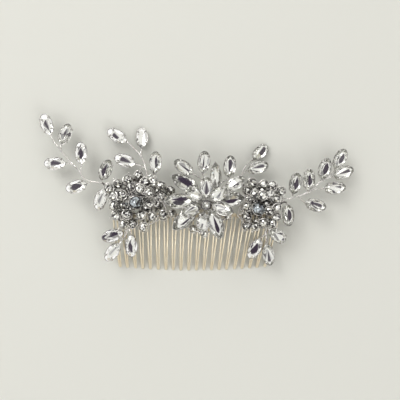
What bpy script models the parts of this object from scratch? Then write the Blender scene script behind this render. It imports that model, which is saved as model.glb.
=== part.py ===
"""Decorative hair comb: a wire comb with a crystal flower, two bead clusters and leaf sprays.

The comb lies on its back, as on a table. +X runs along the comb's spine, -Y is the way the
teeth point, +Z faces the viewer. Everything below is written in millimetres and scaled by MM.
"""

from math import cos, pi, radians, sin, sqrt

import bmesh
import bpy
from mathutils import Matrix, Vector

MM = 0.001
GAP = 0.3  # clearance between pieces that touch in the real comb

# The middle of the comb's outline, which becomes the origin.
MIDDLE_X = 0.16
MIDDLE_Y = 10.31

# Wire comb
TEETH = 20
TOOTH_PITCH = 4.16
TOOTH_WIRE = 0.85
LEG_SPREAD = 1.8  # between the two legs of a hairpin tooth, at the spine
TIP_SPREAD = 0.55  # between them at the tip, where they touch
TOOTH_REACH = 27.4  # how far the middle teeth reach from the spine
SHORT_REACH = 1.8  # how much less the outermost teeth reach
TIP_GATHER = 0.92  # the tips stand closer together than the roots
TIP_SHIFT = -1.9  # and lean to one side
SPINE_Y = -0.9
LEG_TOP_Z = 9.64  # the legs where they cross the spine
TIP_Z = 0.31  # and where they end, so that the tips lie on the table
SLOPE_AT_SPINE = 5.0  # degrees below level
SLOPE_AT_TIP = 32.0
SPINE_ROD = 1.2
BINDING_WIRE = 0.5
BINDING_RADIUS = 1.25

# Claw-set marquise crystals: length and width over the setting, heights from the girdle, and how
# round each end is, from a sharp point (0) to a full ellipse (1)
LEAF = {"length": 11.0, "width": 6.3, "back": 1.7, "crown": 1.5, "tip": 0.95, "foot": 0.5}
PETAL = {"length": 15.2, "width": 7.6, "back": 2.0, "crown": 1.9, "tip": 0.12, "foot": 0.12}
SLIM_PETAL = {**PETAL, "width": 5.4}
OUTLINE_STEPS = 6  # straight runs along each side of a marquise

# Flower
FLOWER_X = 4.8
FLOWER_Y = 4.4
PLATE_RADIUS = 10.0
PLATE_BACK_Z = 10.4
PLATE_THICKNESS = 0.7
POST_RADIUS = 1.4
CUP_BACK_Z = 17.0
CUP_RADIUS = 2.4
CUP_HEIGHT = 1.6
CUP_WALL = 0.4
CENTRE_STONE_RADIUS = 1.9
CENTRE_STONE_HEIGHT = 2.2

# Wires and beads
STEM_WIRE = 0.9
STALK_WIRE = 0.6
BEAD_RADIUS = 2.3
BIG_BEAD_RADIUS = 3.2
SMALL_BEAD_RADIUS = 1.8

# Hinges that stand for the bendable wire at the root of each outer spray
LEFT_HINGE = Vector((-45.6, 14.9, 10.9))
RIGHT_HINGE = Vector((42.9, 7.3, 11.0))

SILVER = (0.78, 0.78, 0.77)
CHAMPAGNE = (0.80, 0.72, 0.56)
CRYSTAL = (0.93, 0.94, 0.95)
SMOKE = (0.62, 0.64, 0.66)

# Leaves and petals: the middle of each crystal, the way it points in plan (degrees from +X),
# and how far its tip is raised (degrees).
LEFT_SPRAY = {
    "left_spray_leaf_1": ((-73.54, 44.0, 7.5), 111, -4),
    "left_spray_leaf_2": ((-64.4, 39.2, 7.5), 69, -4),
    "left_spray_leaf_3": ((-56.3, 29.8, 9.0), 92, -4),
    "left_spray_leaf_4": ((-69.4, 24.8, 7.8), 182, -4),
    "left_spray_leaf_5": ((-58.4, 13.4, 10.0), 195, -4),
}
RIGHT_SPRAY = {
    "right_spray_leaf_1": ((48.3, 14.9, 11.0), 80, 8),
    "right_spray_leaf_2": ((54.9, 16.7, 11.1), 89, 8),
    "right_spray_leaf_3": ((62.7, 22.0, 10.2), 73, 4),
    "right_spray_leaf_4": ((70.6, 27.0, 8.6), 61, -4),
    "right_spray_leaf_5": ((72.2, 20.2, 8.6), 20, -4),
    "right_spray_leaf_6": ((68.0, 12.7, 9.0), 3, -4),
    "right_spray_leaf_7": ((58.4, 4.3, 9.6), -14, -4),
}
UPPER_LEFT_SPRIG = {
    "upper_left_leaf_1": ((-39.3, 38.7, 5.2), 150, -8),
    "upper_left_leaf_2": ((-27.2, 38.0, 2.85), 93, -16),
    "upper_left_leaf_3": ((-35.0, 26.2, 8.0), 162, -6),
    "upper_left_leaf_4": ((-19.7, 25.0, 12.4), 85, 4),
}
UPPER_RIGHT_SPRIG = {
    "upper_right_leaf_1": ((32.1, 30.7, 2.85), 45, -16),
    "upper_right_leaf_2": ((30.4, 22.8, 8.0), 15, -6),
}
CENTRE_SPRIG = {
    "centre_leaf_1": ((-5.9, 22.6, 13.4), 144, 0),
    "centre_leaf_2": ((3.8, 25.1, 13.0), 84, 0),
    "centre_leaf_3": ((16.3, 23.0, 12.6), 84, -6),
}
LOWER_LEFT_SPRIG = {
    "lower_left_leaf_1": ((-40.6, -10.5, 11.2), 195, 10),
    "lower_left_leaf_2": ((-31.6, -15.7, 10.0), 270, -8),
    "lower_left_leaf_3": ((-40.9, -18.7, 9.6), 231, -10),
}
LOWER_RIGHT_SPRIG = {
    "lower_right_leaf_1": ((39.8, -10.6, 11.0), -35, -20),
    "lower_right_leaf_2": ((28.7, -17.0, 9.6), 242, -8),
    "lower_right_leaf_3": ((35.5, -20.2, 8.8), 280, -12),
}
EDGE_LEAVES = {
    "left_edge_leaf_1": ((-43.6, 21.3, 13.6), 67, 6),
    "left_edge_leaf_2": ((-46.3, 6.9, 12.2), 251, -12),
    "right_edge_leaf": ((44.6, -0.5, 12.0), 275, -6),
}
PETALS = {
    "petal_1": ((-5.3, 15.1, 16.2), 152, 6),
    "petal_2": ((-7.9, 6.2, 15.8), 179, 4),
    "petal_3": ((-5.5, -2.5, 15.8), 220, 6),
    "petal_4": ((9.5, -4.8, 15.8), 288, 4),
    "petal_5": ((16.2, 7.1, 16.0), 5, 6),
}
SLIM_PETALS = {"petal_6": ((9.4, 18.2, 18.4), 93, 30)}
INNER_PETALS = {
    "petal_7": ((18.6, 14.6, 16.3), 32, 4),
    "inner_petal_1": ((4.9, 12.7, 20.6), 89, 12),
    "inner_petal_2": ((-1.1, 9.4, 20.6), 144, 36),
    "inner_petal_3": ((-2.5, 1.8, 20.6), 199, 38),
    "inner_petal_4": ((3.4, -3.5, 20.6), 264, 36),
    "inner_petal_5": ((10.85, 9.55, 20.85), 36, 30),
    "inner_petal_6": ((12.6, 2.8, 20.6), 338, 22),
}

# Bead clusters: routes of the core wires, then the beads as (x, y, z) with an optional radius.
LEFT_CORE = [
    [(-40.4, -0.9, 10.9), (-38.0, 4.0, 12.0), (-30.0, 8.0, 12.5), (-20.0, 8.0, 12.5),
     (-15.4, 4.6, 12.0), (-14.6, -0.9, 10.9)],
    [(-38.0, 4.0, 12.0), (-41.0, 9.5, 11.6), (-45.2, 14.4, 10.9)],
    [(-28.0, 8.0, 12.5), (-25.5, 13.0, 12.2), (-24.0, 17.0, 12.2)],
    [(-38.0, 4.0, 12.0), (-41.0, 11.0, 12.8), (-45.3, 15.2, 13.3)],
    [(-38.0, 4.0, 12.0), (-41.6, 9.5, 12.6), (-43.9, 12.9, 13.5)],
]
LEFT_BEADS = [
    (-41.9, 12.6, 15.0), (-37.7, 14.5, 13.4), (-32.9, 16.6, 12.8), (-27.8, 18.8, 13.0),
    (-24.5, 15.2, 14.4), (-20.6, 15.4, 13.8), (-16.8, 13.5, 13.4), (-12.6, 11.4, 11.6),
    (-39.9, 8.6, 15.2), (-39.4, 4.0, 14.0), (-35.5, 9.2, 15.4), (-35.0, 4.6, 13.4),
    (-31.2, 13.0, 14.8), (-26.9, 12.1, 15.6), (-22.5, 10.6, 15.0), (-22.1, 5.2, 14.6),
    (-17.3, 8.2, 14.2), (-38.6, -0.6, 13.6), (-33.1, -0.2, 14.2), (-26.4, -0.4, 14.0),
    (-21.1, -1.2, 13.4), (-15.8, -0.6, 12.6), (-35.0, -5.0, 12.4), (-30.5, -4.7, 12.8),
    (-25.4, -6.3, 12.0),
    (-26.9, 15.4, 10.6), (-31.0, 12.2, 10.6), (-35.2, 10.6, 11.0), (-38.6, 7.0, 10.2),
    (-37.4, 2.6, 10.8), (-31.6, 9.0, 11.0), (-32.0, 2.8, 10.8), (-24.6, 8.2, 10.6),
    (-24.8, 3.4, 10.8), (-18.8, 11.6, 10.6), (-18.4, 4.2, 10.8), (-14.6, 8.6, 10.4),
]
LEFT_BIG_BEAD = (-28.8, 5.6, 15.2)
RIGHT_CORE = [
    [(20.4, -0.9, 10.9), (22.0, 4.0, 11.8), (28.0, 7.0, 12.3), (35.0, 7.0, 12.3),
     (39.0, 3.0, 12.0), (40.4, -0.9, 10.9)],
    [(39.0, 3.0, 12.0), (41.0, 5.4, 11.4), (42.5, 7.0, 11.0)],
    [(27.0, 7.0, 12.2), (24.0, 12.0, 12.0), (21.8, 16.2, 12.0)],
    [(39.0, 3.0, 12.0), (42.0, 5.6, 12.6), (43.8, 5.6, 12.5)],
]
RIGHT_BEADS = [
    (27.1, 15.0, 13.4), (24.8, 11.6, 11.4), (32.9, 14.2, 12.6), (37.0, 13.6, 12.4),
    (28.2, 9.6, 15.0), (32.0, 9.0, 16.0), (35.4, 10.0, 14.6), (38.4, 7.2, 14.4),
    (41.0, 11.0, 13.0), (24.4, 3.6, 13.6), (38.9, 3.2, 15.0), (35.1, 1.5, 15.2),
    (38.9, -1.4, 13.2), (24.5, -0.9, 13.6), (24.5, -5.7, 12.0), (28.8, -5.7, 12.4),
    (32.7, -4.4, 13.0), (36.8, -4.5, 12.6),
    (32.1, 11.4, 11.0), (25.8, 7.2, 11.0), (34.4, 4.9, 10.8), (37.2, 8.8, 11.0),
    (29.0, 6.6, 10.8), (24.0, 2.8, 10.4), (30.6, 2.2, 10.6), (28.4, 12.0, 10.8),
]
RIGHT_BIG_BEAD = (30.0, 2.6, 15.0)
FLOWER_BEAD_WIRE = [(-11.0, 0.6, 12.6), (-5.0, -5.2, 12.0), (-1.4, -7.3, 12.0),
                    (3.9, -9.3, 12.2), (9.0, -7.0, 12.0), (15.1, -1.0, 12.4)]
FLOWER_BEADS = [(-11.4, 0.2, 12.8), (-1.4, -7.3, 12.2), (3.9, -9.3, 12.2), (15.1, -1.0, 12.4)]


def clear_scene():
    for thing in list(bpy.data.objects):
        bpy.data.objects.remove(thing, do_unlink=True)


def finish(name, colour, metallic, roughness):
    """A Principled material; the base colour, metallic and roughness values are all it needs."""
    material = bpy.data.materials.new(name)
    material.use_nodes = True
    shader = material.node_tree.nodes["Principled BSDF"]
    shader.inputs["Base Color"].default_value = (*colour, 1.0)
    shader.inputs["Metallic"].default_value = metallic
    shader.inputs["Roughness"].default_value = roughness
    return material


def add_object(name, mesh, material, parent, world=None):
    """Puts a mesh in the scene under a parent, at a place given in the comb's own frame."""
    mesh.materials.append(material)
    node = bpy.data.objects.new(name, mesh)
    bpy.context.scene.collection.objects.link(node)
    node.parent = parent
    node.matrix_basis = parent_frame(parent).inverted() @ (world or Matrix.Identity(4))
    return node


def parent_frame(parent):
    """The parent's place in the comb's own frame: the top empty, or a hinge under it."""
    return Matrix.Identity(4) if parent.parent is None else parent.matrix_basis


def add_empty(name, place, parent=None):
    empty = bpy.data.objects.new(name, None)
    bpy.context.scene.collection.objects.link(empty)
    empty.parent = parent
    empty.location = place
    return empty


# ---------------------------------------------------------------- wires


def smooth_route(points, runs=3):
    """Points on a smooth curve through a route's own points (Catmull-Rom)."""
    knots = [Vector(point) for point in points]
    knots = [2 * knots[0] - knots[1]] + knots + [2 * knots[-1] - knots[-2]]
    route = []
    for before, start, end, after in zip(knots, knots[1:], knots[2:], knots[3:]):
        for step in range(runs):
            t = step / runs
            route.append(
                0.5 * (2 * start + (end - before) * t
                       + (2 * before - 5 * start + 4 * end - after) * t * t
                       + (3 * start - before - 3 * end + after) * t ** 3)
            )
    return route + [knots[-2]]


def sweep(bm, route, radius, sides=6):
    """A closed round bar along a route in millimetres."""
    route = [Vector(point) for point in route]
    side = Vector((0.0, 0.0, 1.0))
    rings = []
    for index, point in enumerate(route):
        ahead = route[min(index + 1, len(route) - 1)]
        behind = route[max(index - 1, 0)]
        along = (ahead - behind).normalized()
        if abs(along.dot(side)) > 0.95:
            side = Vector((0.3, 1.0, 0.2)).normalized()
        side = (side - along * along.dot(side)).normalized()
        other = along.cross(side)
        ring = []
        for corner in range(sides):
            angle = 2 * pi * corner / sides
            ring.append(bm.verts.new((point + radius * (cos(angle) * side + sin(angle) * other)) * MM))
        rings.append(ring)
    for ring, following in zip(rings, rings[1:]):
        for corner in range(sides):
            onward = (corner + 1) % sides
            bm.faces.new((ring[corner], ring[onward], following[onward], following[corner]))
    bm.faces.new(list(reversed(rings[0])))
    bm.faces.new(rings[-1])


def bar_mesh(name, route, radius, sides=6):
    bm = bmesh.new()
    sweep(bm, route, radius, sides)
    return mesh_from(bm, name)


def mesh_from(bm, name):
    bmesh.ops.recalc_face_normals(bm, faces=bm.faces)
    mesh = bpy.data.meshes.new(name)
    bm.to_mesh(mesh)
    bm.free()
    mesh.shade_smooth()
    mesh.set_sharp_from_angle(angle=radians(40))
    return mesh


def join_solids(node, meshes):
    """Unions the node with further closed meshes, kept in a hidden collection of their own."""
    parts = bpy.data.collections.new(node.name + "_parts")
    bpy.context.scene.collection.children.link(parts)
    for index, mesh in enumerate(meshes):
        part = bpy.data.objects.new(f"{node.name}_part_{index + 1}", mesh)
        part.hide_render = True
        part.display_type = "WIRE"
        part.parent = node.parent
        part.matrix_basis = node.matrix_basis
        parts.objects.link(part)
    union = node.modifiers.new("joined", "BOOLEAN")
    union.operation = "UNION"
    union.solver = "EXACT"
    union.operand_type = "COLLECTION"
    union.collection = parts


def wire_node(name, routes, radius, material, parent, extra=()):
    """One wire piece: its routes are soldered or twisted together into one body."""
    meshes = []
    for index, route in enumerate(routes):
        meshes.append(bar_mesh(f"{name}_{index}", smooth_route(route), radius))
    node = add_object(name, meshes[0], material, parent)
    rest = meshes[1:] + list(extra)
    if rest:
        join_solids(node, rest)
    return node


# ---------------------------------------------------------------- wire comb


def tooth_centre(x_root, along):
    """A point on a tooth's centre line, from the spine (0) to the tip (1)."""
    reach = TOOTH_REACH - SHORT_REACH * (x_root / (TEETH * TOOTH_PITCH / 2)) ** 2
    start = radians(SLOPE_AT_SPINE)
    end = radians(SLOPE_AT_TIP)
    slope = start + (end - start) * along
    plan = (sin(slope) - sin(start)) / (sin(end) - sin(start))
    drop = (cos(start) - cos(slope)) / (cos(start) - cos(end))
    x_tip = TIP_GATHER * x_root + TIP_SHIFT
    return Vector((
        x_root + (x_tip - x_root) * plan,
        SPINE_Y - reach * plan,
        LEG_TOP_Z - (LEG_TOP_Z - TIP_Z) * drop,
    ))


def leg_route(x_root, side, runs=4):
    """One leg of a hairpin tooth: the legs close in on each other towards the tip."""
    route = []
    for step in range(runs + 1):
        along = step / runs
        closing = min(1.0, along / 0.8)
        spread = LEG_SPREAD + (TIP_SPREAD - LEG_SPREAD) * closing
        route.append(tooth_centre(x_root, along) + Vector((side * spread / 2, 0, 0)))
    return route


def tooth_meshes(name, x_root):
    """A hairpin tooth: one leg carries the rounded top, the other meets it."""
    first = leg_route(x_root, -1)
    second = leg_route(x_root, 1)
    top = tooth_centre(x_root, 0)
    half = LEG_SPREAD / 2
    arch = []
    for step in range(1, 4):
        angle = pi - pi * step / 4
        arch.append(top + Vector((half * cos(angle), half * sin(angle), 0.05)))
    foot = second[0] + (second[1] - second[0]) * 0.12
    hairpin = list(reversed(first)) + arch + [second[0], foot]
    return [
        bar_mesh(name + "_hairpin", hairpin, TOOTH_WIRE / 2, 5),
        bar_mesh(name + "_leg", second, TOOTH_WIRE / 2 * 1.02, 5),
    ]


def root_positions():
    return [(index - (TEETH - 1) / 2) * TOOTH_PITCH for index in range(TEETH)]


def build_comb(frame, champagne):
    rod_z = LEG_TOP_Z - TOOTH_WIRE / 2 - SPINE_ROD / 2 + 0.1
    end = TEETH * TOOTH_PITCH / 2 - 0.6
    rod = bar_mesh("spine_rod", [(-end, SPINE_Y, rod_z), (end, SPINE_Y, rod_z)], SPINE_ROD / 2, 8)
    comb = add_object("wire_comb", rod, champagne, frame)
    teeth = []
    for index, x_root in enumerate(root_positions()):
        teeth.extend(tooth_meshes(f"tooth_{index + 1}", x_root))
    join_solids(comb, teeth)

    turns = TEETH - 1
    per_turn = 8
    first_gap = root_positions()[0] + TOOTH_PITCH / 2
    route = []
    for step in range(turns * per_turn - per_turn + 1):
        turn = step / per_turn
        angle = 2 * pi * turn
        x = first_gap + TOOTH_PITCH * (turn - sin(angle) / (2 * pi))
        route.append((x, SPINE_Y + BINDING_RADIUS * sin(angle), rod_z + BINDING_RADIUS * cos(angle)))
    add_object("binding_wire", bar_mesh("binding_wire", route, BINDING_WIRE / 2, 4), champagne, frame)


# ---------------------------------------------------------------- crystals


def marquise_outline(size):
    """The oval, foot at -X and tip at +X, its middle at the origin. Each end lies between the
    point where two arcs meet and the end of an ellipse."""
    half_length = size["length"] / 2
    half_width = size["width"] / 2
    radius = (half_length ** 2 + half_width ** 2) / (2 * half_width)
    upper = []
    for step in range(OUTLINE_STEPS + 1):
        turn = pi - pi * step / OUTLINE_STEPS
        x = half_length * cos(turn)
        pointed = sqrt(max(0.0, radius ** 2 - x ** 2)) - (radius - half_width)
        rounded = half_width * sin(turn)
        blunt = size["foot"] + (size["tip"] - size["foot"]) * (0.5 + 0.5 * cos(turn))
        upper.append((x, max(0.0, pointed + (rounded - pointed) * blunt)))
    lower = [(x, -y) for x, y in reversed(upper[1:-1])]
    return upper + lower


def crystal_mesh(name, size):
    """A marquise crystal in its claw setting: flat back, widest at the girdle, flat table."""
    outline = marquise_outline(size)
    levels = ((0.80, -size["back"]), (1.0, 0.0), (0.52, size["crown"]))
    bm = bmesh.new()
    rings = []
    for scale, height in levels:
        ring = [bm.verts.new((x * scale * MM, y * scale * MM, height * MM)) for x, y in outline]
        rings.append(ring)
    count = len(outline)
    for ring, following in zip(rings, rings[1:]):
        for corner in range(count):
            onward = (corner + 1) % count
            bm.faces.new((ring[corner], ring[onward], following[onward], following[corner]))
    bm.faces.new(rings[0])
    bm.faces.new(rings[-1])
    return mesh_from(bm, name)


def pointing(heading, raised):
    """The turn that takes a crystal from lying along +X to its heading, tip raised."""
    return Matrix.Rotation(radians(heading), 4, "Z") @ Matrix.Rotation(-radians(raised), 4, "Y")


def foot_of(leaf, size, gap=GAP):
    """The point just behind a crystal's foot, where its wire ends."""
    middle, heading, raised = leaf
    along = pointing(heading, raised) @ Vector((1.0, 0.0, 0.0))
    return Vector(middle) - along * (size["length"] / 2 + gap)


def build_crystals(leaves, size, material, parent):
    for name, (middle, heading, raised) in leaves.items():
        mesh = crystal_mesh(name, size)
        place = Matrix.Translation(Vector(middle) * MM) @ pointing(heading, raised)
        add_object(name, mesh, material, parent, place)


# ---------------------------------------------------------------- flower


def plate_mesh():
    """The stamped plate behind the petals: a lobed disc with a post for the centre stone."""
    lobes = 8
    steps = 32
    bm = bmesh.new()
    outline = []
    for step in range(steps):
        angle = 2 * pi * step / steps
        reach = PLATE_RADIUS * (0.88 + 0.12 * cos(lobes * angle))
        outline.append((reach * cos(angle) * MM, reach * sin(angle) * MM))
    lower = [bm.verts.new((x, y, 0.0)) for x, y in outline]
    upper = [bm.verts.new((x, y, PLATE_THICKNESS * MM)) for x, y in outline]
    for corner in range(steps):
        onward = (corner + 1) % steps
        bm.faces.new((lower[corner], lower[onward], upper[onward], upper[corner]))
    bm.faces.new(lower)
    bm.faces.new(upper)
    return mesh_from(bm, "flower_plate")


def turned_mesh(name, profile, steps=16):
    """A closed body turned about Z from (radius, height) points that start and end on the axis."""
    bm = bmesh.new()
    rings = []
    for radius, height in profile[1:-1]:
        ring = []
        for step in range(steps):
            angle = 2 * pi * step / steps
            ring.append(bm.verts.new((radius * cos(angle) * MM, radius * sin(angle) * MM, height * MM)))
        rings.append(ring)
    for ring, following in zip(rings, rings[1:]):
        for corner in range(steps):
            onward = (corner + 1) % steps
            bm.faces.new((ring[corner], ring[onward], following[onward], following[corner]))
    for ring, (_, height) in ((rings[0], profile[0]), (rings[-1], profile[-1])):
        hub = bm.verts.new((0.0, 0.0, height * MM))
        for corner in range(steps):
            bm.faces.new((ring[corner], ring[(corner + 1) % steps], hub))
    return mesh_from(bm, name)


def build_flower(frame, silver, crystal):
    post_bottom = PLATE_THICKNESS / 2
    post_top = CUP_BACK_Z - GAP - PLATE_BACK_Z
    plate_place = Matrix.Translation(Vector((FLOWER_X, FLOWER_Y, PLATE_BACK_Z)) * MM)
    plate = add_object("flower_plate", plate_mesh(), silver, frame, plate_place)
    post = [(0, post_bottom), (POST_RADIUS, post_bottom), (POST_RADIUS, post_top), (0, post_top)]
    join_solids(plate, [turned_mesh("flower_post", post, 12)])

    cup_place = Matrix.Translation(Vector((FLOWER_X, FLOWER_Y, CUP_BACK_Z)) * MM)
    bore = CUP_RADIUS - CUP_WALL
    cup = [(0, 0), (CUP_RADIUS * 0.8, 0), (CUP_RADIUS, CUP_HEIGHT), (bore, CUP_HEIGHT), (bore, 0.6), (0, 0.6)]
    add_object("centre_cup", turned_mesh("centre_cup", cup), silver, frame, cup_place)

    stone_z = CUP_BACK_Z + 0.6 + GAP
    stone_place = Matrix.Translation(Vector((FLOWER_X, FLOWER_Y, stone_z)) * MM)
    radius = CENTRE_STONE_RADIUS
    height = CENTRE_STONE_HEIGHT
    stone = [(0, 0), (radius * 0.7, 0), (radius, height * 0.45), (radius, height * 0.6),
             (radius * 0.6, height), (0, height)]
    add_object("centre_stone", turned_mesh("centre_stone", stone, 12), crystal, frame, stone_place)

    build_crystals(PETALS, PETAL, crystal, frame)
    build_crystals(SLIM_PETALS, SLIM_PETAL, crystal, frame)
    build_crystals(INNER_PETALS, LEAF, crystal, frame)


# ---------------------------------------------------------------- bead clusters


def bead_mesh(name, middle, radius):
    """A bead as a low ball: seven sides and four rows."""
    bm = bmesh.new()
    place = Matrix.Translation(Vector(middle) * MM)
    bmesh.ops.create_uvsphere(bm, u_segments=7, v_segments=4, radius=radius * MM, matrix=place)
    return mesh_from(bm, name)


def nearest(point, routes):
    point = Vector(point)
    places = [spot for route in routes for spot in route]
    return min(places, key=lambda spot: (spot - point).length)


def build_cluster(name, cores, beads, material, parent):
    """Beads on short stalks, all twisted onto one branching core wire."""
    core_routes = [smooth_route(core, 4) for core in cores]
    extra = []
    for index, (middle, radius) in enumerate(beads):
        stalk = [nearest(middle, core_routes), Vector(middle)]
        if (stalk[1] - stalk[0]).length > 0.5:
            extra.append(bar_mesh(f"{name}_stalk_{index}", stalk, STALK_WIRE / 2, 5))
        extra.append(bead_mesh(f"{name}_bead_{index}", middle, radius))
    wire_node(name, cores, STEM_WIRE / 2, material, parent, extra)


def build_clusters(frame, smoke):
    left = [(bead, BEAD_RADIUS) for bead in LEFT_BEADS] + [(LEFT_BIG_BEAD, BIG_BEAD_RADIUS)]
    right = [(bead, BEAD_RADIUS) for bead in RIGHT_BEADS] + [(RIGHT_BIG_BEAD, BIG_BEAD_RADIUS)]
    around = [(bead, SMALL_BEAD_RADIUS) for bead in FLOWER_BEADS]
    build_cluster("left_bead_cluster", LEFT_CORE, left, smoke, frame)
    build_cluster("right_bead_cluster", RIGHT_CORE, right, smoke, frame)
    build_cluster("flower_bead_wire", [FLOWER_BEAD_WIRE], around, smoke, frame)


# ---------------------------------------------------------------- sprays


def build_left_spray(frame, silver, crystal):
    hinge = add_empty("left_spray_hinge", LEFT_HINGE * MM, frame)
    feet = {name: foot_of(leaf, LEAF) for name, leaf in LEFT_SPRAY.items()}
    trunk = [LEFT_HINGE, (-48.6, 15.5, 10.8), (-51.6, 16.0, 10.6), (-54.8, 17.5, 10.2),
             (-57.2, 21.0, 9.6), (-61.2, 25.2, 9.0), (-64.6, 28.8, 8.5), (-67.4, 32.4, 8.1),
             (-69.8, 35.2, 7.9), feet["left_spray_leaf_1"]]
    routes = [
        trunk,
        [(-66.2, 30.8, 8.3), feet["left_spray_leaf_2"]],
        [(-56.1, 19.2, 9.9), feet["left_spray_leaf_3"]],
        [(-61.2, 25.2, 9.0), feet["left_spray_leaf_4"]],
        [(-51.6, 16.0, 10.6), feet["left_spray_leaf_5"]],
    ]
    wire_node("left_spray_stem", routes, STEM_WIRE / 2, silver, hinge)
    build_crystals(LEFT_SPRAY, LEAF, crystal, hinge)


def build_right_spray(frame, silver, crystal):
    hinge = add_empty("right_spray_hinge", RIGHT_HINGE * MM, frame)
    feet = {name: foot_of(leaf, LEAF) for name, leaf in RIGHT_SPRAY.items()}
    trunk = [RIGHT_HINGE, (45.8, 7.5, 11.0), (48.6, 8.4, 10.8), (52.0, 9.4, 10.8),
             (56.2, 11.2, 10.4), (59.2, 14.2, 10.0), (62.0, 16.2, 9.6), (65.0, 18.0, 9.2),
             feet["right_spray_leaf_4"]]
    routes = [
        trunk,
        [(46.4, 7.6, 11.0), feet["right_spray_leaf_1"]],
        [(54.2, 10.2, 10.6), feet["right_spray_leaf_2"]],
        [(60.0, 14.8, 9.9), feet["right_spray_leaf_3"]],
        [(65.0, 18.0, 9.2), feet["right_spray_leaf_5"]],
        [(58.0, 13.0, 10.2), feet["right_spray_leaf_6"]],
        [(50.0, 8.8, 10.8), feet["right_spray_leaf_7"]],
    ]
    wire_node("right_spray_stem", routes, STEM_WIRE / 2, silver, hinge)
    build_crystals(RIGHT_SPRAY, LEAF, crystal, hinge)


def build_sprigs(frame, silver, crystal):
    """The sprigs that stay put: each is a branching wire with a crystal at every end."""
    sprigs = {
        "upper_left_stem": (UPPER_LEFT_SPRIG, [
            [(-24.0, 17.8, 12.2), (-24.2, 21.3, 10.8), (-25.5, 25.2, 8.6), (-27.1, 28.2, 7.2),
             (-30.4, 32.0, 6.2), "upper_left_leaf_1"],
            [(-26.7, 27.6, 7.4), (-27.2, 30.2, 5.6), "upper_left_leaf_2"],
            [(-24.4, 22.0, 10.3), (-26.8, 23.4, 9.4), "upper_left_leaf_3"],
            [(-24.1, 19.2, 11.8), (-22.4, 18.6, 12.0), "upper_left_leaf_4"],
        ]),
        "upper_right_stem": (UPPER_RIGHT_SPRIG, [
            [(21.6, 17.0, 12.0), (22.6, 20.2, 10.4), (24.9, 24.0, 7.6), "upper_right_leaf_1"],
            [(22.4, 19.6, 10.7), "upper_right_leaf_2"],
        ]),
        "centre_stem": (CENTRE_SPRIG, [
            [(5.0, 10.0, 11.9), (4.6, 14.0, 12.0), (2.2, 17.2, 12.6), "centre_leaf_1"],
            [(4.6, 14.0, 12.0), (4.0, 16.8, 12.4), "centre_leaf_2"],
            [(4.8, 12.0, 11.9), (10.0, 13.6, 11.9), "centre_leaf_3"],
        ]),
        "lower_left_stem": (LOWER_LEFT_SPRIG, [
            [(-34.6, 1.0, 11.0), (-33.0, -4.0, 10.6), (-34.0, -9.6, 10.4), "lower_left_leaf_3"],
            [(-33.8, -7.6, 10.4), "lower_left_leaf_1"],
            [(-33.4, -6.4, 10.5), (-32.2, -8.4, 10.7), "lower_left_leaf_2"],
        ]),
        "lower_right_stem": (LOWER_RIGHT_SPRIG, [
            [(34.2, 0.6, 11.0), (34.6, -5.0, 10.4), (34.2, -10.0, 10.2), "lower_right_leaf_3"],
            [(34.5, -4.4, 10.5), (34.9, -6.6, 12.2), "lower_right_leaf_1"],
            [(34.3, -9.2, 10.2), "lower_right_leaf_2"],
        ]),
    }
    for name, (leaves, routes) in sprigs.items():
        ends = {leaf: foot_of(place, LEAF) for leaf, place in leaves.items()}
        full = [route[:-1] + [ends[route[-1]]] for route in routes]
        wire_node(name, full, STEM_WIRE / 2, silver, frame)
        build_crystals(leaves, LEAF, crystal, frame)
    build_crystals(EDGE_LEAVES, LEAF, crystal, frame)


def main():
    clear_scene()
    silver = finish("silver_wire", SILVER, 1.0, 0.25)
    champagne = finish("champagne_wire", CHAMPAGNE, 1.0, 0.32)
    crystal = finish("crystal", CRYSTAL, 0.1, 0.05)
    smoke = finish("smoky_bead", SMOKE, 0.2, 0.08)
    frame = add_empty("comb_frame", Vector((-MIDDLE_X, -MIDDLE_Y, 0.0)) * MM)
    build_comb(frame, champagne)
    build_flower(frame, silver, crystal)
    build_clusters(frame, smoke)
    build_left_spray(frame, silver, crystal)
    build_right_spray(frame, silver, crystal)
    build_sprigs(frame, silver, crystal)
    bpy.context.view_layer.update()


main()
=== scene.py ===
"""Looks of the decorative hair comb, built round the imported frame.

Every crystal takes its place, turn and size from its CAD solid. Wires and beads follow the same
routes as the CAD model's, written in the comb's drawing frame (millimetres, spine at y = 0).
"""

from math import cos, pi, radians, sin, sqrt
from random import Random

import bmesh
import bpy
from mathutils import Matrix, Vector


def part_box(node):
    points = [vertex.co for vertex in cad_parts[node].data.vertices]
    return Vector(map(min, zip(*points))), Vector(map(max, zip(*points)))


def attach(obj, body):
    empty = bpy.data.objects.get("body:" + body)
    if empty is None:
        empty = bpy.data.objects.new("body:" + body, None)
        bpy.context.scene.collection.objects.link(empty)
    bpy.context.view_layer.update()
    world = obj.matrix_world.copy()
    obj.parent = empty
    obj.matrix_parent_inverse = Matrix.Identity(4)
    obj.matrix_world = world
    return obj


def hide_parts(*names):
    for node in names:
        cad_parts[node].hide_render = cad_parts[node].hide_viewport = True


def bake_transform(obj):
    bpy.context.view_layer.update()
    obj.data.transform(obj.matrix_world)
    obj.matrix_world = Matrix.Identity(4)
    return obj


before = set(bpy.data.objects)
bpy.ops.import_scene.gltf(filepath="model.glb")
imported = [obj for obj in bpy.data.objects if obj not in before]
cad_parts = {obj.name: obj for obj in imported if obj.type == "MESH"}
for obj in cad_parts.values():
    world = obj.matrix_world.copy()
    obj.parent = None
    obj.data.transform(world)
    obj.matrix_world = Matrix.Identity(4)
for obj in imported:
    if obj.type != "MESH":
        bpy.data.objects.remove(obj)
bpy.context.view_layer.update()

MM = 0.001
DRAWING_ORIGIN = Vector((-0.16, -10.31, 0.0))  # where the drawing frame's origin lies in the row frame
UP = Vector((0.0, 0.0, 1.0))

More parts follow.
